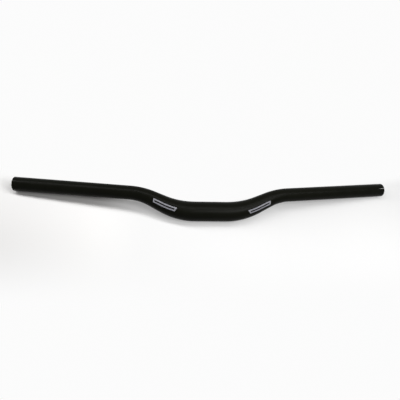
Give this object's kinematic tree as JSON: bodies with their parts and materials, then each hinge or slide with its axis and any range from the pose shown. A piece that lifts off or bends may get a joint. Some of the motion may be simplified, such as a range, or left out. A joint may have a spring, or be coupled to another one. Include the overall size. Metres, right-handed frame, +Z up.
{
  "type": "bicycle handlebar",
  "caption": "Riser handlebar for a bicycle: a tapered aluminium tube, bent upwards beside the stem clamp and swept back into straight grips with open ends.",
  "frame": {"origin": "centre of the stem clamp section, on the tube's axis", "axes": "+X along the clamp section, +Y from the clamp towards the grip ends, +Z up from the table that the bar lies on"},
  "size_m": [0.6236, 0.0774, 0.0407],
  "materials": {
    "black_anodised": "bead-blasted satin black anodising"
  },
  "bodies": {
    "root": {"handlebar": "black_anodised"}
  },
  "joints": []
}
